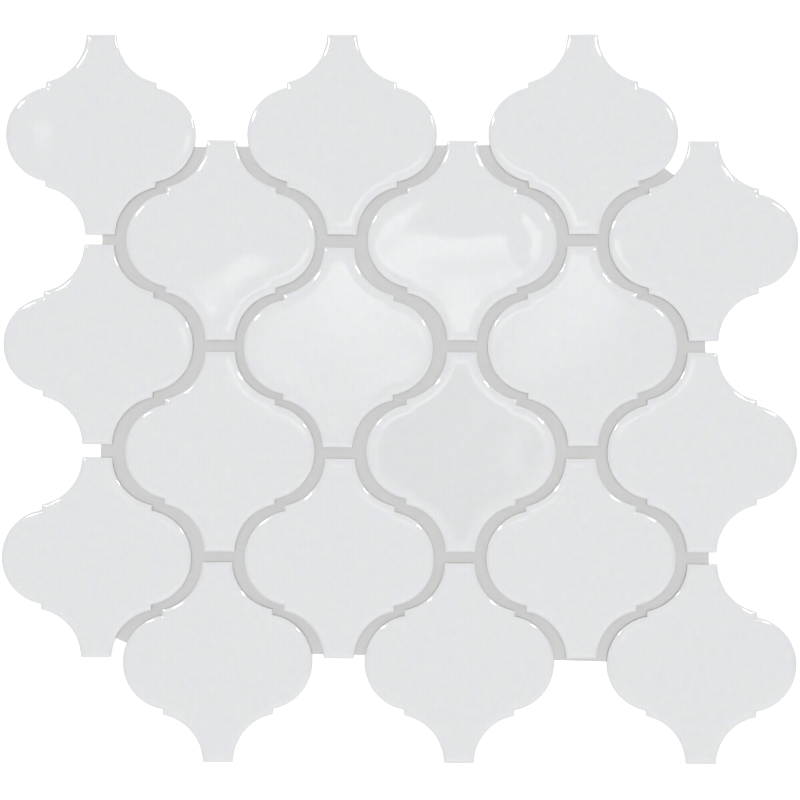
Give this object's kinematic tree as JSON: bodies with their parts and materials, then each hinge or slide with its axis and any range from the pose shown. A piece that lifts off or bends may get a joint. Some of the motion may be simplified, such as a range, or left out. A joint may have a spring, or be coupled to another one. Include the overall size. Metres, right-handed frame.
{
  "type": "arabesque mosaic tile sheet",
  "caption": "Flat mosaic sheet of white glazed lantern-shaped ceramic tiles with cushion edges, laid in staggered rows on one thin grey backing.",
  "frame": {"origin": "middle of the sheet, on the underside of the backing", "axes": "+X along the rows, +Y up the necks of the lanterns, +Z out of the glazed face"},
  "size_m": [0.287, 0.2628, 0.0065],
  "materials": {
    "white_glazed_ceramic": "gloss",
    "grey_mesh_backing": "matte"
  },
  "bodies": {
    "root": {"lantern_row_1": "white_glazed_ceramic", "lantern_row_2": "white_glazed_ceramic", "lantern_row_3": "white_glazed_ceramic", "lantern_row_4": "white_glazed_ceramic", "lantern_row_5": "white_glazed_ceramic", "lantern_row_6": "white_glazed_ceramic", "mesh_backing": "grey_mesh_backing"}
  },
  "joints": []
}
